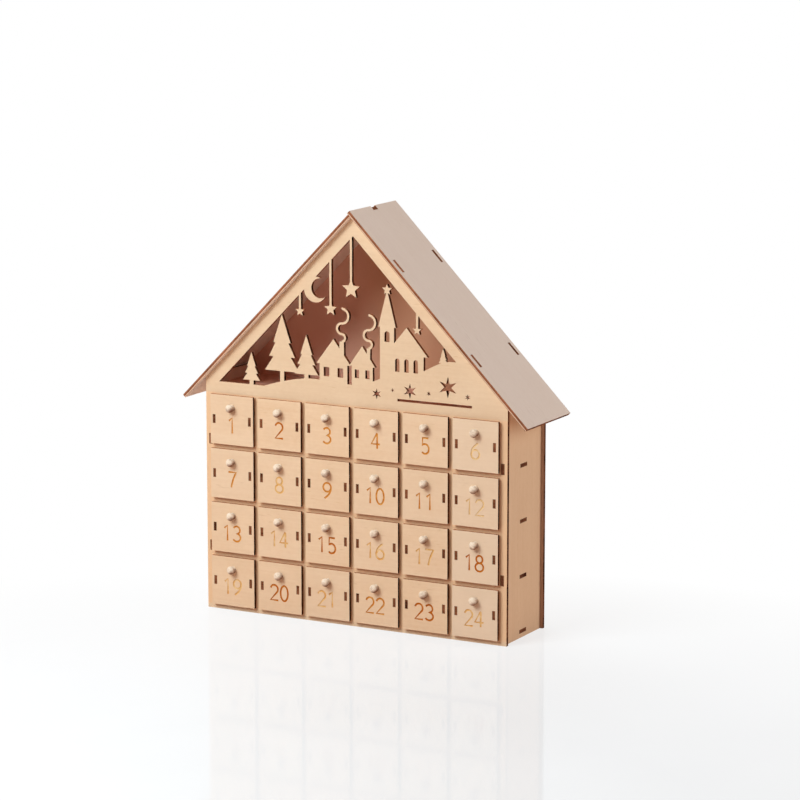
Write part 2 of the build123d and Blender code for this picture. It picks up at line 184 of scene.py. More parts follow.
def make_veneer_group():
    colour_kind, value_kind = "NodeSocketColor", "NodeSocketFloat"
    tree, ins, outs = new_group(
        "Veneer", "ShaderNodeTree",
        [("Grain", "NodeSocketVector"), ("Light", colour_kind), ("Dark", colour_kind),
         ("Fleck", colour_kind)],
        [("Color", colour_kind), ("Height", value_kind), ("Roughness", value_kind)],
    )
    fibres = noise(tree, ins["Grain"], FIBRE_SCALE, detail=4.0, roughness=0.65)
    bands = noise(tree, ins["Grain"], BAND_SCALE, detail=2.0)
    clouds = noise(tree, ins["Grain"], CLOUD_SCALE, detail=1.0)
    mottle = noise(tree, ins["Grain"], MOTTLE_SCALE, detail=2.0)
    tone = 0.0
    for pattern, share in zip((fibres, bands, clouds, mottle), TONE_SHARES):
        tone = sums(tree, "MULTIPLY_ADD", pattern, share, tone)
    wood = blended(tree, span(tree, tone, *TONE_RANGE), ins["Dark"], ins["Light"])
    flecks = span(tree, noise(tree, ins["Grain"], FLECK_SCALE, detail=1.0), *FLECK_RANGE)
    patches = noise(tree, ins["Grain"], FLECK_PATCH_SCALE, detail=0.0)
    marks = sums(tree, "MULTIPLY", flecks, span(tree, patches, *FLECK_PATCH_RANGE))
    wood = blended(tree, sums(tree, "MULTIPLY", marks, FLECK_DEPTH), wood, ins["Fleck"])
    feed(tree, outs["Color"], wood)
    feed(tree, outs["Height"], fibres)
    feed(tree, outs["Roughness"], span(tree, bands, *NOISE_RANGE, *VENEER_ROUGHNESS))
    return tree


veneer_group = make_veneer_group()
print("veneer group:", len(veneer_group.nodes), "nodes")

# %% [markdown]
# ## The cut edge
#
# A laser burns its way through the board, so every cut edge is brown: lighter on the two outer plies,
# darker on the core and along the glue lines, and streaked from face to face where the beam pulsed.
# On the roof the beam has hardly marked the ply where it left the board. The group needs to know how
# deep a point lies in the board, from 0 at one face to 1 at the other, how much it is charred and how
# pale the ply at 0 is, and gives the burnt colour there.

# %% Cut edge group
# The first colour is a darker band at each face of a cut edge: painted shade, as of the thin crevice
# where an edge meets the next board.
RIM_AND_CREVICE_SHADE, OUTER_PLY, CORE_PLY, GLUE = "A05A3C", "C4825C", "A8664A", "562A1E"
CHARCOAL, UNMARKED_PLY = "2A0E06", "E2C0A6"
PLY_STOPS = ((0.0, RIM_AND_CREVICE_SHADE), (0.12, OUTER_PLY), (0.3, OUTER_PLY), (0.345, GLUE), (0.39, CORE_PLY))
STREAK_SCALE = (1300.0, 1300.0, 60.0)   # patterns a metre, long from face to face
PATCH_SCALE = (60.0, 60.0, 60.0)
STREAK_SHARE, PATCH_SHARE = 0.4, 0.6    # of the uneven char
UNEVEN_RANGE, UNEVEN_CHAR = (0.35, 0.65), 0.25
FIRST_PLY_START, FIRST_PLY_END = (0.03, 0.12), (0.26, 0.38)   # depths of its soft borders


def ramp(tree, value, stops):
    """Colour of a ramp with these (place, colour code) stops."""
    made = node(tree, "ShaderNodeValToRGB", {"Fac": value})
    points = made.color_ramp.elements
    while len(points) < len(stops):
        points.new(1.0)
    for point, (place, code) in zip(points, stops):
        point.position = place
        point.color = colour(code)
    return made.outputs["Color"]


def make_edge_group():
    value_kind = "NodeSocketFloat"
    tree, ins, outs = new_group(
        "Burnt edge", "ShaderNodeTree",
        [("Grain", "NodeSocketVector"), ("Depth", value_kind), ("Char", value_kind),
         ("Pale Ply", value_kind)],
        [("Color", "NodeSocketColor"), ("Height", value_kind)],
    )
    far_stops = [(1 - place, code) for place, code in reversed(PLY_STOPS)]
    plies = ramp(tree, ins["Depth"], [*PLY_STOPS, *far_stops])
    streaks = noise(tree, ins["Grain"], STREAK_SCALE, detail=2.0)
    patches = noise(tree, ins["Grain"], PATCH_SCALE, detail=1.0)
    streaky = sums(tree, "MULTIPLY", streaks, STREAK_SHARE)
    uneven = sums(tree, "MULTIPLY_ADD", patches, PATCH_SHARE, streaky)
    stray = span(tree, uneven, *UNEVEN_RANGE, -UNEVEN_CHAR, UNEVEN_CHAR)
    char = sums(tree, "ADD", stray, ins["Char"])
    burnt = blended(tree, span(tree, char, 0.0, 1.0), plies, colour(CHARCOAL))
    past_rim = span(tree, ins["Depth"], *FIRST_PLY_START)
    before_glue = span(tree, ins["Depth"], *FIRST_PLY_END, 1.0, 0.0)
    first_ply = sums(tree, "MULTIPLY", before_glue, past_rim)
    unmarked = sums(tree, "MULTIPLY", first_ply, ins["Pale Ply"])
    feed(tree, outs["Color"], blended(tree, unmarked, burnt, colour(UNMARKED_PLY)))
    feed(tree, outs["Height"], streaks)
    return tree


edge_group = make_edge_group()
print("edge group:", len(edge_group.nodes), "nodes")

# %% [markdown]
# ## How a board lies
#
# Grain, plies and burnt edges all follow the board's own directions. They could be typed in for each
# board, but its mesh tells them: the thin direction is the one that most of its area looks along, and
# the grain runs along the longer side, or level where the board is nearly square.

# %% Measure a board
LEVEL_WISH = 0.4    # how much sooner the grain runs level than upright
LEAST_SIDE = 0.5    # what an axis keeps beside the thin direction, to count as a side
Axes = namedtuple("Axes", "grain cross thin start end")


def board_axes(mesh):
    """Three directions of a board, and where its thin side starts and ends."""
    areas = {}
    for face in mesh.polygons:
        key = tuple(round(abs(part), 3) for part in face.normal)
        areas.setdefault(key, [0.0, face.normal])[0] += face.area
    thin = max(areas.values(), key=lambda entry: entry[0])[1].normalized()
    thin = -thin if thin.z < 0 else thin
    sides = [axis - thin * axis.dot(thin) for axis in Matrix.Identity(3)]
    sides = [side.normalized() for side in sides if side.length > LEAST_SIDE]

    def ends(axis):
        places = [vertex.co.dot(axis) for vertex in mesh.vertices]
        return min(places), max(places)

    def wish(side):
        start, end = ends(side)
        return (end - start) * (1 - LEVEL_WISH * abs(side.z))

    grain = max(sides, key=wish)
    return Axes(grain, thin.cross(grain), thin, *ends(thin))


sill_axes = board_axes(nodes["attic_floor"].data)
print("attic floor's grain:", [round(part, 2) for part in sill_axes.grain])

# %% [markdown]
# ## Plywood, put together
#
# A board has two broad faces of veneer and burnt edges all round. Which is which could be painted face
# by face, but the normal tells it: a face that looks along the board's thin direction is veneer, and
# any other is an edge. An edge cut across the grain shows the open ends of the fibres and chars almost
# black, and one cut along the grain only browns, so each finish has two strengths of char. A Mapping
# node turns the pattern to the board. Stains and painted shade lie on top of the veneer: each has its
# colour, the places across and the heights that it lies between, and a soft border.

# %% Directions, stains and painted shade
FACING_RANGE = (0.4, 0.6)    # of how far a face looks in a direction, until it counts
# Stains here also carry painted shade.
SHADE_STAIN_SHARE = 0.75           # how far a stain covers the veneer
FORWARD = Vector((0, -1, 0))
ShadeStain = namedtuple("ShadeStain", "tint places heights border")


def towards(tree, vector, axis):
    """How far a direction goes along an axis, from -1 to 1."""
    return vectors(tree, "DOT_PRODUCT", vector, axis, result="Value")


def along(tree, vector, axis):
    """How far a direction goes along an axis, either way, from 0 to 1."""
    return sums(tree, "ABSOLUTE", towards(tree, vector, axis))


def facing(tree, normal, direction, amount):
    """An amount on the faces that look in a direction, and none on the others."""
    return span(tree, towards(tree, normal, direction), *FACING_RANGE, 0.0, amount)


def within(tree, value, low, high, border):
    """1 between two values, and 0 past a soft border."""
    rise = span(tree, value, low - border, low)
    return sums(tree, "MULTIPLY", rise, span(tree, value, high, high + border, 1.0, 0.0))


def stained(tree, veneer, place, normal, shade_stains):
    """Veneer with stains and painted shade on the face that looks forward."""
    for shade_stain in shade_stains:
        parts = node(tree, "ShaderNodeSeparateXYZ", {"Vector": place}).outputs
        level = within(tree, parts["X"], *shade_stain.places, shade_stain.border)
        upright = within(tree, parts["Z"], *shade_stain.heights, shade_stain.border)
        cover = facing(tree, normal, FORWARD, SHADE_STAIN_SHARE)
        cover = sums(tree, "MULTIPLY", sums(tree, "MULTIPLY", level, upright), cover)
        veneer = blended(tree, cover, veneer, colour(shade_stain.tint))
    return veneer


# %% Start a finish
def new_finish(name):
    """New material, with its tree and its shader."""
    material = bpy.data.materials.new(name)
    material.use_nodes = True
    return material, material.node_tree, material.node_tree.nodes["Principled BSDF"]


def attribute(tree, name, output="Fac"):
    """Value that a mesh stores under a name, or its vector."""
    return node(tree, "ShaderNodeAttribute", attribute_name=name).outputs[output]


def use_group(tree, group, feeds):
    """Places a group in a finish, and gives its outputs."""
    return node(tree, "ShaderNodeGroup", feeds, node_tree=group).outputs


# %% Plywood finish
Woods = namedtuple("Woods", "light dark fleck back")        # colour codes
Chars = namedtuple("Chars", "with_grain across pale_ply")   # amounts from 0 to 1
# Faces that look into the house take the back tone, which also paints the light and shade inside.
BACK_VENEER_AND_INNER_LIGHT = 0.85      # how far the back veneer covers the face that looks into the house
ACROSS_POWER = 4.0      # how suddenly an edge counts as cut across the grain
EDGE_BELOW = 0.5        # a face that looks less along the thin direction is an edge
EDGE_ROUGHNESS = 0.2    # more than the veneer's
WOOD_SHINE = 0.06
WOOD_RELIEF = {"Strength": 0.12, "Distance": 0.0002}


def plywood(name, woods, chars, axes, depth_attribute=None, inward=None, shade_stains=()):
    """Plywood along these axes. Without a depth attribute, depth is measured along the thin axis."""
    material, tree, shader = new_finish(name)
    place = node(tree, "ShaderNodeTexCoord").outputs["Object"]
    turned = node(tree, "ShaderNodeMapping", {
        "Vector": place, "Rotation": Matrix((axes.grain, axes.cross, axes.thin)).to_euler(),
    }).outputs["Vector"]
    on_board = vectors(tree, "ADD", turned, attribute(tree, "board_shift", "Vector"))
    if depth_attribute:
        depth = attribute(tree, depth_attribute)
    else:
        height = node(tree, "ShaderNodeSeparateXYZ", {"Vector": turned}).outputs["Z"]
        depth = span(tree, height, axes.start, axes.end)
    normal = node(tree, "ShaderNodeNewGeometry").outputs["True Normal"]

    light, dark, fleck, back = (colour(code) for code in woods)
    face = use_group(tree, veneer_group, {
        "Grain": on_board, "Light": light, "Dark": dark, "Fleck": fleck,
    })
    # On the house the back tone, with its painted light and shade, covers the faces that look in; on a
    # drawer it is the paler sheet.
    if inward:
        pale_sheet_and_inner_light = facing(tree, normal, inward, BACK_VENEER_AND_INNER_LIGHT)
    else:
        pale_sheet_and_inner_light = attribute(tree, "sheet_paleness")
    veneer = blended(tree, pale_sheet_and_inner_light, face["Color"], back)
    veneer = stained(tree, veneer, place, normal, shade_stains)

    across = sums(tree, "POWER", along(tree, normal, axes.grain), ACROSS_POWER)
    edge = use_group(tree, edge_group, {
        "Grain": on_board, "Depth": depth,
        "Char": span(tree, across, 0.0, 1.0, chars.with_grain, chars.across),
        "Pale Ply": span(tree, across, 0.0, 1.0, chars.pale_ply, 0.0),
    })
    is_edge = sums(tree, "LESS_THAN", along(tree, normal, axes.thin), EDGE_BELOW)
    rough = sums(tree, "MULTIPLY_ADD", is_edge, EDGE_ROUGHNESS, face["Roughness"])
    relief = sums(tree, "MULTIPLY_ADD", is_edge, edge["Height"], face["Height"])
    bump = node(tree, "ShaderNodeBump", {"Height": relief, **WOOD_RELIEF})
    feed(tree, shader.inputs["Base Color"], blended(tree, is_edge, veneer, edge["Color"]))
    feed(tree, shader.inputs["Roughness"], rough)
    feed(tree, shader.inputs["Normal"], bump.outputs["Normal"])
    shader.inputs["Specular IOR Level"].default_value = WOOD_SHINE
    return material


# %% [markdown]
# ## The boards of the house
#
# The house has sixteen boards in twelve nodes, as its five dividers share one. They have the right shape
# already, so they stay and only get their wood. Each node has its own finish, because each lies in its
# own direction. The roof has a greyer colour than the walls, and the sides a slightly redder one. Plywood
# has a good face and another veneer on its back, and the back looks into the house. Its tone there is
# also painted light and shade: much paler on the sides and under the roof, as painted light inside, and
# redder on the walls, as painted warm shade. On the attic floor it is the upper one, and redder.

# %% Woods and burns of the house
# The last code of each is the face that looks into the house, with painted light and shade: paler on the
# sides and roof, redder on the walls and attic floor.
WALL_WOODS = Woods("E4C9AB", "DBBC9C", "BD8F62", "EFBCA9")
SIDE_WOODS = Woods("E3C09F", "DBB593", "B58459", "F6E4DA")
ROOF_WOODS = Woods("E9D7CB", "E4D0C3", "C7B09F", "FFF4EC")
ATTIC_WOODS = SIDE_WOODS._replace(back="EAB29F")
FRONT_CHARS, ROOF_CHARS = Chars(0.1, 0.85, 0.0), Chars(0.35, 0.6, 0.85)
INNER_CHARS = Chars(0.5, 0.78, 0.0)
house_woods = {
    "front_panel": WALL_WOODS, "back_panel": WALL_WOODS, "attic_floor": ATTIC_WOODS,
    "left_roof_panel": ROOF_WOODS, "right_roof_panel": ROOF_WOODS,
}
house_chars = {
    "front_panel": FRONT_CHARS, "left_roof_panel": ROOF_CHARS, "right_roof_panel": ROOF_CHARS,
}
print("sheets of wood:", len({house_woods.get(name, SIDE_WOODS) for name in house_names}))

# %% [markdown]
# Round the 24 windows the front has a warmer tone: partly smoke from the cutting, partly painted warm
# shade on the strips between the drawers. The margins of the back panel, outside the side panels, are
# painted shade, and inside the attic the back wall is painted browner towards the right, as painted
# shade where light falls in through the fretwork. A second mesh over the boards could carry these marks,
# but as stains they stay in the finish, each one a place, a colour and a border.

# %% Stains and painted shade of the house
# Painted shade: the warm tone between the drawers, beside smoke, the grey-brown of the back panel's
# margins and the brown on the right of the back wall.
WINDOW_SMOKE_AND_SHADE, MARGIN_SHADE, BACK_WALL_SHADE = "EBBF97", "AE9787", "C48862"
BACK_WALL_SHADE_FROM = -0.005        # across, from the middle
CRISP, SOFT = 0.0015, 0.04   # borders of stains
wall_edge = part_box("front_panel")[1].x
window_heights = (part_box("drawer_19")[0].z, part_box("drawer_06")[1].z)
all_heights = (cad_low.z, cad_high.z)
left_margin = (-wall_edge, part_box("left_side_panel")[0].x)
right_margin = (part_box("right_side_panel")[1].x, wall_edge)
house_shade_stains = {
    # Partly smoke, partly painted shade on the strips between the drawers.
    "front_panel": [ShadeStain(WINDOW_SMOKE_AND_SHADE, (-wall_edge, wall_edge), window_heights, CRISP)],
    "back_panel": [
        # Painted shade: the back wall inside the attic is browner towards the right, where the lamp's
        # light falls in through the fretwork.
        ShadeStain(BACK_WALL_SHADE, (BACK_WALL_SHADE_FROM, wall_edge), all_heights, SOFT),
        # Painted shade on the back panel's margins, outside the side panels.
        ShadeStain(MARGIN_SHADE, left_margin, all_heights, CRISP),
        ShadeStain(MARGIN_SHADE, right_margin, all_heights, CRISP),
    ],
}
print("painted_shade margin in mm:", round(1000 * (right_margin[1] - right_margin[0]), 2))

# %% Dress the boards of the house
for name in house_names:
    axes = board_axes(nodes[name].data)
    low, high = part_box(name)
    looks_in = name == "attic_floor" or (house_middle - (low + high) / 2).dot(axes.thin) > 0
    finish = plywood(
        f"{name}_ply", house_woods.get(name, SIDE_WOODS), house_chars.get(name, INNER_CHARS), axes,
        inward=axes.thin if looks_in else -axes.thin, shade_stains=house_shade_stains.get(name, ()),
    )
    for slot in nodes[name].material_slots:
        slot.material = finish
    thickness = round(1000 * (axes.end - axes.start), 2)
    print(name, "grain", [round(part, 2) for part in axes.grain], "ply", thickness)

# %% [markdown]
# ## The numerals
#
# Each drawer has its number engraved by the same laser, as a line a little over a millimetre wide in a
# plain open hand. A font would bring its own serifs and weight, so the ten digits are drawn here as a
# pen would draw them: straight strokes, ovals and bends, in shares of the digit's height.

# %% Pen strokes
OVAL_STEP = 15     # degrees between points on an oval
BEND_STEPS = 8


def oval(x, y, across, up, start, end):
    """Points on an oval from one angle to another, in degrees from the right, anticlockwise."""
    count = round(abs(end - start) / OVAL_STEP)
    angles = [math.radians(start + (end - start) * i / count) for i in range(count + 1)]
    return [(x + across * math.cos(a), y + up * math.sin(a)) for a in angles]


def ring(x, y, across, up):
    """Points of a whole oval."""
    return oval(x, y, across, up, 0, 360 - OVAL_STEP)


def bend(start, pull, end):
    """Points on a curve that leaves start towards pull and comes to end from there."""
    points = []
    for i in range(BEND_STEPS + 1):
        t = i / BEND_STEPS
        of_start, of_pull, of_end = (1 - t) ** 2, 2 * t * (1 - t), t ** 2
        points.append(tuple(
            of_start * a + of_pull * b + of_end * c for a, b, c in zip(start, pull, end)
        ))
    return points


print("points on a ring:", len(ring(0, 0, 1, 1)))


# %% Draw the digits
def digit_strokes():
    """Each digit's open strokes and closed rings."""
    six = [bend((0.19, 1.0), (-0.27, 0.72), (-0.28, 0.3))]
    six_ring = ring(0, 0.29, 0.28, 0.29)
    two = oval(0, 0.72, 0.27, 0.28, 165, -36) + [(-0.28, 0.0), (0.29, 0.0)]
    three = oval(-0.02, 0.755, 0.25, 0.245, 150, -90) + oval(-0.02, 0.26, 0.29, 0.26, 90, -150)[1:]
    five = [(0.23, 1.0), (-0.17, 1.0)] + oval(-0.01, 0.31, 0.28, 0.31, 132, -138)
    return {
        "0": ([], [ring(0, 0.5, 0.27, 0.5)]),
        "1": ([[(-0.2, 0.81), (0.03, 1.0), (0.03, 0.0)]], []),
        "2": ([two], []),
        "3": ([three], []),
        "4": ([[(0.11, 1.0), (-0.3, 0.29), (0.31, 0.29)], [(0.11, 0.98), (0.11, 0.0)]], []),
        "5": ([five], []),
        "6": (six, [six_ring]),
        "7": ([[(-0.28, 1.0), *bend((0.29, 1.0), (0.02, 0.5), (-0.07, 0.0))]], []),
        "8": ([], [ring(0, 0.765, 0.22, 0.235), ring(0, 0.265, 0.28, 0.265)]),
        "9": ([[(-x, 1 - y) for x, y in six[0]]], [[(-x, 1 - y) for x, y in six_ring]]),
    }


strokes_of = digit_strokes()
print("digits drawn:", len(strokes_of))

# %% [markdown]
# The pen line becomes a groove when a round bar is swept along it and cut out of the front. Sweeping
# and cutting the same way 24 times is work for Geometry Nodes: the tree takes the drawer, the pen line
# and the bar's radius, and gives the engraved drawer. The line floats a little before the face, so
# only the lower part of the bar cuts, which makes the groove wide and shallow.

# %% Engraving tree
BAR_SIDES = 12


def make_engraving_tree():
    shape_kind, finish_kind = "NodeSocketGeometry", "NodeSocketMaterial"
    tree, ins, outs = new_group(
        "Engrave numeral", "GeometryNodeTree",
        [("Drawer", shape_kind), ("Pen Line", "NodeSocketObject"), ("Bar Radius", "NodeSocketFloat"),
         ("Burn", finish_kind), ("Wood", finish_kind)],
        [("Geometry", shape_kind)],
    )
    line = node(tree, "GeometryNodeObjectInfo", {"Object": ins["Pen Line"]}).outputs["Geometry"]
    circle = node(tree, "GeometryNodeCurvePrimitiveCircle", {
        "Resolution": BAR_SIDES, "Radius": ins["Bar Radius"],
    })
    bar = node(tree, "GeometryNodeCurveToMesh", {
        "Curve": line, "Profile Curve": circle.outputs["Curve"], "Fill Caps": True,
    })
    hot = node(tree, "GeometryNodeSetMaterial", {
        "Geometry": bar.outputs["Mesh"], "Material": ins["Burn"],
    })
    cut = node(tree, "GeometryNodeMeshBoolean", {
        "Mesh 1": ins["Drawer"], "Mesh 2": hot.outputs["Geometry"], "Self Intersection": True,
    }, operation="DIFFERENCE", solver="EXACT")
    real = node(tree, "GeometryNodeRealizeInstances", {"Geometry": cut.outputs["Mesh"]})
    burnt = node(tree, "GeometryNodeMaterialSelection", {"Material": ins["Burn"]})
    bare = node(tree, "FunctionNodeBooleanMath", {0: burnt.outputs["Selection"]}, operation="NOT")
    wooden = node(tree, "GeometryNodeSetMaterial", {
        "Geometry": real.outputs["Geometry"], "Selection": bare.outputs["Boolean"],
        "Material": ins["Wood"],
    })
    feed(tree, outs["Geometry"], wooden.outputs["Geometry"])
    return tree


engraving_tree = make_engraving_tree()
print("engraving tree:", len(engraving_tree.nodes), "nodes")


# %% [markdown]
# A tree is run by a modifier, whose inputs are set by their identifiers. What it makes is kept as a plain
# mesh and the modifier is taken off again, so that each face can be given its finish afterwards.

# %% Run a tree
def plain_mesh(obj, name, tree, values):
    """Runs a tree on an object and gives what it makes as a plain mesh, with the modifier gone."""
    modifier = obj.modifiers.new(tree.name, "NODES")
    modifier.node_group = tree
    for item in tree.interface.items_tree:
        if item.in_out == "INPUT" and item.name in values:
            modifier[item.identifier] = values[item.name]
    bpy.context.view_layer.update()
    made = obj.evaluated_get(bpy.context.evaluated_depsgraph_get())
    mesh = bpy.data.meshes.new_from_object(made)
    obj.modifiers.remove(modifier)
    mesh.name = name
    return mesh


# %% [markdown]
# ## The burn in the grooves
#
# The laser did not bite everywhere alike: some numbers are deep orange-brown, most are tan, and a few
# are almost the colour of the wood. One colour for each number would look printed, so a burn attribute
# says how deep it is, and noise breaks it up along the line.

# %% Burn finish
BURN_TONES = ((0.0, "E3C498"), (0.3, "DCAF72"), (0.6, "CB863C"), (1.0, "B3601C"))
BURN_PATCH_SCALE, GRIT_SCALE = (330.0, 330.0, 330.0), (2600.0, 2600.0, 2600.0)
PATCH_DEPTH, GRIT_DEPTH = 0.2, 0.07
GRIT_RANGE, BURN_ROUGHNESS = (0.2, 0.8), (0.7, 0.85)
BURN_SHINE = 0.2


def burn_finish():
    material, tree, shader = new_finish("engraved_burn")
    place = node(tree, "ShaderNodeTexCoord").outputs["Object"]
    patches = noise(tree, place, BURN_PATCH_SCALE, detail=2.0)
    grit = noise(tree, place, GRIT_SCALE, detail=1.0)
    patchy = span(tree, patches, *NOISE_RANGE, -PATCH_DEPTH, PATCH_DEPTH)
    gritty = span(tree, grit, *NOISE_RANGE, -GRIT_DEPTH, GRIT_DEPTH)
    uneven = sums(tree, "ADD", patchy, gritty)
    tone = ramp(tree, sums(tree, "ADD", attribute(tree, "burn"), uneven), BURN_TONES)
    feed(tree, shader.inputs["Base Color"], tone)
    feed(tree, shader.inputs["Roughness"], span(tree, grit, *GRIT_RANGE, *BURN_ROUGHNESS))
    shader.inputs["Specular IOR Level"].default_value = BURN_SHINE
    return material


burn_material = burn_finish()
print("burn finish:", burn_material.name)

# %% [markdown]
# ## Wood of the drawers
#
# A drawer is five boards: an overlay front, two sides, a back and a bottom. They could be parted into
# five pieces, but they move as one, so a drawer stays one mesh with a finish for each of the three ways
# that its boards lie. An attribute shifts each drawer to its own place in the sheet.

# %% Drawer finishes
DRAWER_WOODS = Woods("E8CAAB", "DEBA97", "BC8F60", "E2CDB7")
FACING_CHARS, TRAY_CHARS = Chars(0.08, 0.92, 0.0), Chars(0.35, 0.65, 0.0)
PLY_DEPTH = "ply_depth"
AXIS_X, AXIS_Y, AXIS_Z = Vector((1, 0, 0)), Vector((0, 1, 0)), Vector((0, 0, 1))


def drawer_ply(name, chars, grain, thin):
    """Plywood of a drawer's boards, whose depth comes from their attribute."""
    axes = Axes(grain, thin.cross(grain), thin, 0.0, 1.0)
    return plywood(name, DRAWER_WOODS, chars, axes, PLY_DEPTH)


drawer_finishes = [
    drawer_ply("drawer_front_ply", FACING_CHARS, AXIS_X, AXIS_Y),
    drawer_ply("tray_side_ply", TRAY_CHARS, AXIS_Y, AXIS_X),
    drawer_ply("tray_bottom_ply", TRAY_CHARS, AXIS_Y, AXIS_Z),
    burn_material,
]
FACING, SIDE, BOTTOM, BURN = range(len(drawer_finishes))
print("drawer finishes:", [finish.name for finish in drawer_finishes])

# %% [markdown]
# ## The drawers
#
# A drawer's own node is loose triangles, so a copy is merged first and its flat faces are joined, which
# leaves clean boards for the cut. The pen line is laid out on the front's face: one digit in the
# middle, or two side by side.

# %% Copy a drawer
MERGE = 1e-6               # metres
FLAT = math.radians(0.5)


def clean_copy(source, name):
    """Copy of a CAD node's mesh with its corners merged and its flat faces joined."""
    copy = bmesh.new()
    copy.from_mesh(source.data)
    bmesh.ops.remove_doubles(copy, verts=copy.verts, dist=MERGE)
    bmesh.ops.dissolve_limit(copy, angle_limit=FLAT, verts=copy.verts, edges=copy.edges)
    mesh = bpy.data.meshes.new(name)
    copy.to_mesh(mesh)
    copy.free()
    return mesh


drawer_low, drawer_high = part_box(drawer_names[0])
print("a drawer in mm:", [round(1000 * side, 1) for side in drawer_high - drawer_low])

# %% Lay out a number
NUMERAL_HEIGHT = 0.0107     # of the pen line
NUMERAL_STEP = 0.0079       # from one digit's middle to the next one's
PAIR_SHIFT = -0.0006        # of a number with two digits, to the left
NUMERAL_LOW_SHARE = 0.237   # pen line's foot, of the front's height
BAR_RADIUS = 0.0008
BAR_LIFT = 0.00042          # pen line before the face


def new_object(name, data):
    """Object in the scene, at the origin."""
    made = bpy.data.objects.new(name, data)
    bpy.context.scene.collection.objects.link(made)
    return made


def pen_line(number, low, high):
    """Curve of a number's strokes, before the middle of a drawer front with these corners."""
    curve = bpy.data.curves.new(f"pen_line_{number}", "CURVE")
    curve.dimensions = "3D"
    digits = str(number)
    foot = low.z + NUMERAL_LOW_SHARE * (high.z - low.z)
    for place, digit in enumerate(digits):
        middle = (low.x + high.x) / 2 + (place - (len(digits) - 1) / 2) * NUMERAL_STEP
        middle += PAIR_SHIFT * (len(digits) - 1)
        strokes, rings = strokes_of[digit]
        for points, closed in [(s, False) for s in strokes] + [(r, True) for r in rings]:
            spline = curve.splines.new("POLY")
            spline.points.add(len(points) - 1)
            spline.use_cyclic_u = closed
            for point, (x, y) in zip(spline.points, points):
                x, z = middle + x * NUMERAL_HEIGHT, foot + y * NUMERAL_HEIGHT
                point.co = (x, low.y - BAR_LIFT, z, 1.0)
    return new_object(curve.name, curve)


groove_width = 2 * math.sqrt(BAR_RADIUS ** 2 - BAR_LIFT ** 2)
print("groove in mm:", round(1000 * groove_width, 2), "by", round(1000 * (BAR_RADIUS - BAR_LIFT), 2))


# %% [markdown]
# After the cut, the boards are told apart again by walking from face to face. The way that a board is
# thin says which finish it gets, and where each corner lies between its two faces is stored as the
# depth of its plies.

# %% Tell the boards apart
def boards_of(mesh):
    """Lists of faces that hang together."""
    copy = bmesh.new()
    copy.from_mesh(mesh)
    copy.faces.ensure_lookup_table()
    unseen, boards = set(range(len(copy.faces))), []
    while unseen:
        queue, board = [unseen.pop()], []
        while queue:
            index = queue.pop()
            board.append(index)
            beside = {f.index for e in copy.faces[index].edges for f in e.link_faces} & unseen
            unseen -= beside
            queue += beside
        boards.append(board)
    copy.free()
    return boards


def finish_boards(mesh):
    """Gives each board of a drawer its finish and the depth of its plies."""
    depths = mesh.attributes.new(PLY_DEPTH, "FLOAT", "POINT").data
    burnt = {p.index for p in mesh.polygons if mesh.materials[p.material_index] == burn_material}
    mesh.materials.clear()
    for finish in drawer_finishes:
        mesh.materials.append(finish)
    for board in boards_of(mesh):
        corners = {v for face in board for v in mesh.polygons[face].vertices}
        points = [mesh.vertices[v].co for v in corners]
        low = [min(p[k] for p in points) for k in range(3)]
        high = [max(p[k] for p in points) for k in range(3)]
        thin = min(range(3), key=lambda k: high[k] - low[k])
        kind = (SIDE, FACING, BOTTOM)[thin]
        for v in corners:
            depths[v].value = (mesh.vertices[v].co[thin] - low[thin]) / (high[thin] - low[thin])
        for face in board:
            mesh.polygons[face].material_index = BURN if face in burnt else kind


# %% [markdown]
# No two drawers are quite alike. Some numbers are burnt more deeply than others, the last column of
# fronts comes from a paler part of the sheet, and every drawer has its own stretch of grain. These go
# into the mesh as attributes, so that all drawers can share their finishes.

# %% What differs between drawers
BURN_OF_MOST = 0.6
BURNS = {
    0.95: (2, 15, 18, 20, 23),
    0.3: (8, 14, 16, 17, 19, 21, 24),
    0.1: (6, 12),
}
COLUMNS = 6
PALER, PALE_COLUMN = 0.3, 0.4   # most that any drawer is paler, and what the last column adds
shifts = random.Random(24)


def burn_of(number):
    """How deeply a number is burnt."""
    return next((burn for burn, numbers in BURNS.items() if number in numbers), BURN_OF_MOST)


def paleness_of(number):
    """How pale a drawer's wood is, drawn by chance."""
    return shifts.uniform(0.0, PALER) + (0.0 if number % COLUMNS else PALE_COLUMN)


def any_shift():
    """Place in the sheet, drawn by chance."""
    return [shifts.uniform(-1, 1) for _ in range(3)]


def store(mesh, name, value):
    """Stores one number or one vector on all corners of a mesh."""
    if isinstance(value, float):
        data = mesh.attributes.new(name, "FLOAT", "POINT").data
        data.foreach_set("value", [value] * len(mesh.vertices))
    else:
        data = mesh.attributes.new(name, "FLOAT_VECTOR", "POINT").data
        data.foreach_set("vector", list(value) * len(mesh.vertices))


print("burns:", {number: burn_of(number) for number in range(1, len(drawer_names) + 1)})

# %% [markdown]
# Now every drawer is engraved, finished and hung on its own body, so that it slides with it.

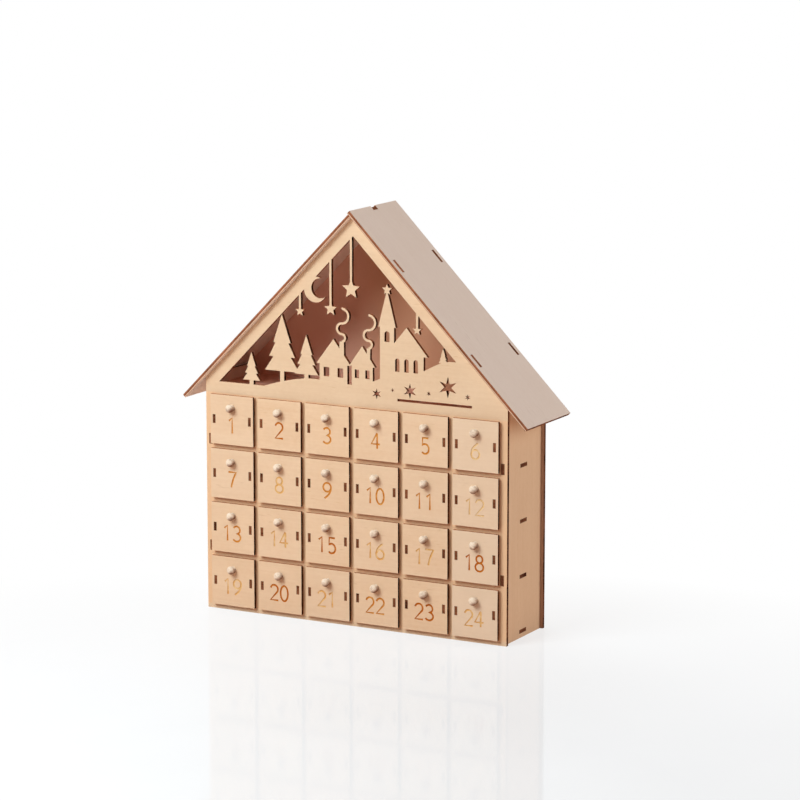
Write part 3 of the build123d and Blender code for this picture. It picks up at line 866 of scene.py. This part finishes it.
# %% Engrave the drawers
for number, name in enumerate(drawer_names, start=1):
    blank = new_object(f"blank_{number:02}", clean_copy(nodes[name], f"blank_{number:02}"))
    line = pen_line(number, *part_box(name))
    mesh = plain_mesh(blank, f"numbered_drawer_{number:02}", engraving_tree, {
        "Pen Line": line, "Bar Radius": BAR_RADIUS,
        "Burn": burn_material, "Wood": drawer_finishes[FACING],
    })
    bpy.data.objects.remove(line)
    bpy.data.objects.remove(blank)
    store(mesh, "burn", burn_of(number))
    store(mesh, "sheet_paleness", paleness_of(number))
    store(mesh, "board_shift", any_shift())
    finish_boards(mesh)
    drawer = new_object(mesh.name, mesh)
    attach(drawer, f"pull_{number:02}")
    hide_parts(name)
    engraved = sum(p.material_index == BURN for p in mesh.polygons)
    print(mesh.name, "faces", len(mesh.polygons), "engraved", engraved)

# %% [markdown]
# ## The knobs
#
# A knob is turned on a lathe: a flattened ball on a short neck, a ring that sits on the front, and a peg
# that is glued into it. On a lathe only the radius along the axis matters, so the tree makes it by a
# rule: at every height the radius is the largest of the ball, the neck, the ring and the peg. Sweeping a
# circle along the axis with that radius gives the knob, and the tree is run once for each drawer.

# %% Profile of a knob
def knob_radius(tree, ins, height):
    """Radius of the knob at a height over the drawer's face."""
    half = sums(tree, "MULTIPLY", ins["Ball Height"], 0.5)
    middle = sums(tree, "SUBTRACT", ins["Length"], half)
    away = sums(tree, "DIVIDE", sums(tree, "SUBTRACT", height, middle), half)
    inside = sums(tree, "SUBTRACT", 1.0, sums(tree, "MULTIPLY", away, away))
    ball = sums(tree, "SQRT", sums(tree, "MAXIMUM", inside, 0.0))
    ball = sums(tree, "MULTIPLY", ball, ins["Ball Radius"])
    below_ball = sums(tree, "LESS_THAN", height, middle)
    above_face = sums(tree, "GREATER_THAN", height, 0.0)
    in_ring = sums(tree, "MULTIPLY", above_face, sums(tree, "LESS_THAN", height, ins["Ring Height"]))
    neck = sums(tree, "MULTIPLY", above_face, ins["Neck Radius"])
    stem = sums(tree, "MAXIMUM", neck, sums(tree, "MULTIPLY", in_ring, ins["Ring Radius"]))
    stem = sums(tree, "MAXIMUM", stem, ins["Peg Radius"])
    return sums(tree, "MAXIMUM", ball, sums(tree, "MULTIPLY", below_ball, stem))


# %% Knob tree
LATHE_STEPS, LATHE_SIDES = 120, 32


def make_knob_tree():
    sizes = ("Length", "Ball Radius", "Ball Height", "Ring Radius", "Ring Height", "Neck Radius",
             "Peg Radius", "Peg Length")
    tree, ins, outs = new_group(
        "Turned knob", "GeometryNodeTree",
        [("Geometry", "NodeSocketGeometry"), ("Place", "NodeSocketVector"),
         *((size, "NodeSocketFloat") for size in sizes), ("Wood", "NodeSocketMaterial")],
        [("Geometry", "NodeSocketGeometry")],
    )
    peg_end = node(tree, "ShaderNodeCombineXYZ", {"Z": sums(tree, "MULTIPLY", ins["Peg Length"], -1.0)})
    tip = node(tree, "ShaderNodeCombineXYZ", {"Z": ins["Length"]})
    axis = node(tree, "GeometryNodeCurvePrimitiveLine", {
        "Start": peg_end.outputs[0], "End": tip.outputs[0],
    })
    steps = node(tree, "GeometryNodeResampleCurve", {
        "Curve": axis.outputs["Curve"], "Count": LATHE_STEPS,
    })
    place = node(tree, "GeometryNodeInputPosition").outputs["Position"]
    height = node(tree, "ShaderNodeSeparateXYZ", {"Vector": place}).outputs["Z"]
    circle = node(tree, "GeometryNodeCurvePrimitiveCircle", {"Resolution": LATHE_SIDES, "Radius": 1.0})
    skin = node(tree, "GeometryNodeCurveToMesh", {
        "Curve": steps.outputs["Curve"], "Profile Curve": circle.outputs["Curve"],
        "Scale": knob_radius(tree, ins, height), "Fill Caps": True,
    })
    closed = node(tree, "GeometryNodeMergeByDistance", {
        "Geometry": skin.outputs["Mesh"], "Distance": MERGE,
    })
    smooth = node(tree, "GeometryNodeSetShadeSmooth", {"Geometry": closed.outputs["Geometry"]})
    seated = node(tree, "GeometryNodeTransform", {
        "Geometry": smooth.outputs["Geometry"], "Translation": ins["Place"],
        "Rotation": (math.pi / 2, 0.0, 0.0),
    })
    real = node(tree, "GeometryNodeRealizeInstances", {"Geometry": seated.outputs["Geometry"]})
    wooden = node(tree, "GeometryNodeSetMaterial", {
        "Geometry": real.outputs["Geometry"], "Material": ins["Wood"],
    })
    feed(tree, outs["Geometry"], wooden.outputs["Geometry"])
    return tree


knob_tree = make_knob_tree()
print("knob tree:", len(knob_tree.nodes), "nodes")

# %% [markdown]
# The knobs are a paler wood than the boards, smooth from the lathe. Their grain runs along the axis, so
# the ball's tip shows end grain: faint rings that are slightly off the middle. Low on the right they are
# painted brown, as painted shade on the side turned from the lamp and round the contact shadow. Rings and
# painted shade come from the place beside the knob's own axis, stored as an attribute.

# %% Knob finish
KNOB_LIGHT, KNOB_DARK, KNOB_PAINTED_SHADE = "F7E9D9", "E0C6AB", "85583E"
KNOB_FIBRE_SCALE, WANDER_SCALE = (1500.0, 130.0, 1500.0), (250.0, 60.0, 250.0)
RING_MIDDLE = (0.0021, 0.0, -0.0034)
RING_TURNS, RING_WANDER = 7000.0, 9.0   # radians in a metre, and in all of the noise
RING_SHARE = 0.16                       # of the rings in the tone, beside the fibres
KNOB_TONE_RANGE = (0.25, 0.75)
# Painted shade low on the right of the knob, broken up by noise.
KNOB_SHADE_NOISE_SCALE = (300.0, 300.0, 300.0)
KNOB_SHADE_SIDE = (0.5, 0.0, -0.87)         # down and to the right
KNOB_SHADE_PLACES = (-0.0002, 0.0026)       # metres from the axis to that side
KNOB_SHADE_PULL = (-0.02, 0.6)              # what these places add to the noise
KNOB_SHADE_RANGE, KNOB_SHADE_DEPTH = (0.5, 1.1), 0.97
KNOB_ROUGHNESS = (0.38, 0.52)
KNOB_SHINE = 0.45
KNOB_RELIEF = {"Strength": 0.08, "Distance": 0.0001}


def knob_finish():
    material, tree, shader = new_finish("turned_wood")
    across = attribute(tree, "from_axis", "Vector")
    here = vectors(tree, "ADD", across, attribute(tree, "board_shift", "Vector"))
    wander = noise(tree, here, WANDER_SCALE, detail=2.0)
    beside = vectors(tree, "MULTIPLY", across, (1.0, 0.0, 1.0))
    apart = vectors(tree, "DISTANCE", beside, RING_MIDDLE, result="Value")
    wandered = sums(tree, "MULTIPLY", wander, RING_WANDER)
    rings = sums(tree, "SINE", sums(tree, "MULTIPLY_ADD", apart, RING_TURNS, wandered))
    fibres = noise(tree, here, KNOB_FIBRE_SCALE, detail=3.0)
    tone = sums(tree, "MULTIPLY_ADD", rings, RING_SHARE, fibres)
    wood = blended(tree, span(tree, tone, *KNOB_TONE_RANGE), colour(KNOB_DARK), colour(KNOB_LIGHT))
    # Painted shade: brown on the lower right, where the knob is shaded and meets its contact shadow.
    shade_noise = noise(tree, here, KNOB_SHADE_NOISE_SCALE, detail=1.0)
    toward_shade = span(tree, towards(tree, across, KNOB_SHADE_SIDE), *KNOB_SHADE_PLACES, *KNOB_SHADE_PULL)
    knob_shade = span(tree, sums(tree, "ADD", shade_noise, toward_shade), *KNOB_SHADE_RANGE, 0.0, KNOB_SHADE_DEPTH)
    wood = blended(tree, knob_shade, wood, colour(KNOB_PAINTED_SHADE))
    bump = node(tree, "ShaderNodeBump", {"Height": fibres, **KNOB_RELIEF})
    feed(tree, shader.inputs["Base Color"], wood)
    feed(tree, shader.inputs["Roughness"], span(tree, fibres, *NOISE_RANGE, *KNOB_ROUGHNESS))
    feed(tree, shader.inputs["Normal"], bump.outputs["Normal"])
    shader.inputs["Specular IOR Level"].default_value = KNOB_SHINE
    return material


knob_material = knob_finish()
print("knob finish:", knob_material.name)

# %% [markdown]
# Each knob takes its place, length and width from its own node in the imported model, and the profile is
# given in shares of them.

# %% Turn the knobs
RING_RADIUS_SHARE = 0.86    # of the ball's
NECK_RADIUS_SHARE = 0.5
PEG_RADIUS_SHARE = 0.38
BALL_HEIGHT_SHARE = 0.8     # of the knob's length
RING_HEIGHT_SHARE = 0.16
for number, name in enumerate(drawer_names, start=1):
    knob_name = f"knob_{number:02}"
    low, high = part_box(knob_name)
    face_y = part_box(name)[0].y
    place = Vector(((low.x + high.x) / 2, face_y, (low.z + high.z) / 2))
    ball, length = (high.x - low.x) / 2, face_y - low.y
    blank = new_object(f"lathe_{number:02}", bpy.data.meshes.new("lathe"))
    mesh = plain_mesh(blank, f"turned_knob_{number:02}", knob_tree, {
        "Place": place, "Length": length, "Peg Length": high.y - face_y, "Wood": knob_material,
        "Ball Radius": ball, "Ball Height": BALL_HEIGHT_SHARE * length,
        "Ring Radius": RING_RADIUS_SHARE * ball, "Ring Height": RING_HEIGHT_SHARE * length,
        "Neck Radius": NECK_RADIUS_SHARE * ball, "Peg Radius": PEG_RADIUS_SHARE * ball,
    })
    bpy.data.objects.remove(blank)
    axis_places = mesh.attributes.new("from_axis", "FLOAT_VECTOR", "POINT").data
    for vertex, spot in zip(mesh.vertices, axis_places):
        spot.vector = vertex.co - place
    store(mesh, "board_shift", any_shift())
    knob = new_object(mesh.name, mesh)
    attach(knob, f"pull_{number:02}")
    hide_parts(knob_name)
print("knobs turned:", len(drawer_names), "faces each:", len(mesh.polygons))

# %% [markdown]
# ## The table
#
# The house stands on a white, slightly glossy table that fades into a white backdrop. A plain white
# floor would render grey where the lamps are weak, and more light would bleach the wood. So the table
# is lifted to white for the camera alone, fades out round a point before the house, and still takes the
# house's shadow and a faint mirror image. For all other rays it has a warm tone, because the light that
# comes back from below to the eaves and the drawers is warm in the picture.

# %% Floor
WHITE = "FFFFFF"
TABLE_GREYS, TABLE_BOUNCE = ("ADADB0", "B3B3B6"), "D8BBAE"
TABLE_PATCH_SCALE = (9.0, 9.0, 9.0)
FLOOR_HALF = 40.0
FLOOR_SHINE, FLOOR_ROUGHNESS = 0.1, 0.06
FLOOR_LIFT = 0.42                 # light that the table adds for the camera
FADE_MIDDLE = (0.2, -0.42, 0.0)   # on the table, before the house
FADE_FROM, FADE_TO = 0.22, 0.62   # metres from there over which the table fades into the backdrop


def mixed(tree, amount, first, second):
    """Shader between two, by an amount from 0 to 1."""
    return node(tree, "ShaderNodeMixShader", {0: amount, 1: first, 2: second}).outputs[0]


def floor_finish():
    material, tree, _ = new_finish("white_table")
    tree.nodes.clear()
    place = node(tree, "ShaderNodeTexCoord").outputs["Object"]
    patches = noise(tree, place, TABLE_PATCH_SCALE, detail=2.0)
    seen = node(tree, "ShaderNodeLightPath").outputs["Is Camera Ray"]
    grey = blended(tree, patches, *(colour(code) for code in TABLE_GREYS))
    tone = blended(tree, seen, colour(TABLE_BOUNCE), grey)
    matt = node(tree, "ShaderNodeBsdfDiffuse", {"Color": tone}).outputs[0]
    shine = node(tree, "ShaderNodeBsdfGlossy", {"Color": colour(WHITE), "Roughness": FLOOR_ROUGHNESS})
    table = mixed(tree, FLOOR_SHINE, matt, shine.outputs[0])
    glow = node(tree, "ShaderNodeEmission", {"Strength": sums(tree, "MULTIPLY", seen, FLOOR_LIFT)})
    lifted = node(tree, "ShaderNodeAddShader", {0: table, 1: glow.outputs[0]}).outputs[0]
    away = vectors(tree, "DISTANCE", place, FADE_MIDDLE, result="Value")
    fade = sums(tree, "MULTIPLY", seen, span(tree, away, FADE_FROM, FADE_TO))
    backdrop = node(tree, "ShaderNodeEmission", {"Color": colour(WHITE), "Strength": 1.0}).outputs[0]
    node(tree, "ShaderNodeOutputMaterial", {"Surface": mixed(tree, fade, lifted, backdrop)})
    return material


quarters = ((-1, -1), (1, -1), (1, 1), (-1, 1))
corners = [(x * FLOOR_HALF, y * FLOOR_HALF, cad_low.z) for x, y in quarters]
floor_mesh = bpy.data.meshes.new("floor")
floor_mesh.from_pydata(corners, [], [(0, 1, 2, 3)])
floor_mesh.materials.append(floor_finish())
new_object("floor", floor_mesh)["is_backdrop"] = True
print("table fades to white over", round(FADE_TO - FADE_FROM, 2), "m")

# %% [markdown]
# ## The light
#
# The picture was taken with one large soft lamp in front of the house, high and to the left, and white
# surfaces round it. A square area lamp near the house lights the roof more than the lowest drawers, as
# in the picture. Two weaker ones stand for a white panel that lights the right side and a white wall
# behind. The lamps are slightly cool and the world's light is warm, so lit wood stays pale and shadows
# are brown. The camera, the table's mirror and clear things see a white world.

# %% Lamps
LAMPS = {   # direction from the house, then distance, size and power
    "key_lamp": ((-0.29, -0.74, 0.6), 1.25, 0.7, 16.2),
    "white_panel": ((0.9, 0.35, 0.25), 1.6, 1.2, 13.2),
    "white_wall": ((-0.6, 0.55, 0.6), 1.6, 1.2, 11.0),
}
LAMP_TINT = "F0FEFF"


def soft_lamp(name, direction, distance, size, power):
    """Square lamp that looks at the middle of the house, and that the table doesn't mirror."""
    data = bpy.data.lights.new(name, "AREA")
    data.energy = power
    data.color = colour(LAMP_TINT)[:3]
    data.size = size
    lamp = new_object(name, data)
    lamp.visible_glossy = False
    lamp.location = house_middle + Vector(direction).normalized() * distance
    lamp.rotation_euler = Vector(direction).to_track_quat("Z", "Y").to_euler()


for name, values in LAMPS.items():
    soft_lamp(name, *values)
print("lamps:", list(LAMPS))

# %% World
WARM = "FFCBB6"
SURROUND_STRENGTH = 0.21


def white_surroundings():
    """World that is warm as light, and white where it is looked at."""
    world = bpy.data.worlds.new("white_surroundings")
    world.use_nodes = True
    tree = world.node_tree
    backdrop = tree.nodes["Background"].inputs
    path = node(tree, "ShaderNodeLightPath").outputs
    mirrored = sums(tree, "ADD", path["Is Glossy Ray"], path["Is Transmission Ray"])
    seen = sums(tree, "ADD", path["Is Camera Ray"], mirrored)
    feed(tree, backdrop["Color"], blended(tree, seen, colour(WARM), colour(WHITE)))
    feed(tree, backdrop["Strength"], span(tree, seen, 0.0, 1.0, SURROUND_STRENGTH, 1.0))
    return world


bpy.context.scene.world = white_surroundings()
print("world:", bpy.context.scene.world.name)

# %% [markdown]
# ## The camera
#
# The camera was found from the photograph by fitting the corners of the body, the roof and the drawers.
# It stands more than two metres away, to the right of the front and higher than the roof, with a long
# lens.

# %% Camera and colour
CAMERA_AZIMUTH, CAMERA_ELEVATION = 28.28, 10.48   # degrees
CAMERA_DISTANCE = 2.2196
CAMERA_LENS, SENSOR = 149.63, 36.0                # millimetres
AIM = Vector((0.03549, -0.0262, 0.1597))          # point that fills the middle of the picture

turn, rise = math.radians(CAMERA_AZIMUTH), math.radians(CAMERA_ELEVATION)
back = Vector((math.sin(turn) * math.cos(rise), -math.cos(turn) * math.cos(rise), math.sin(rise)))
camera_data = bpy.data.cameras.new("camera")
camera_data.lens = CAMERA_LENS
camera_data.sensor_width = SENSOR
camera = new_object("camera", camera_data)
camera.location = AIM + back * CAMERA_DISTANCE
camera.rotation_euler = (-back).to_track_quat("-Z", "Y").to_euler()
bpy.context.scene.camera = camera
bpy.context.scene.view_settings.view_transform = "Standard"
print("camera at", [round(part, 3) for part in camera.location])

# %% [markdown]
# ## Sizes and the end
#
# The dressed model is meant to stay inside the imported one, so its size is printed here, as the imported
# size was at the start.

# %% Write the sizes and finish
low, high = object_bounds()
print("visual size in mm:", [round(1000 * side, 1) for side in high - low])
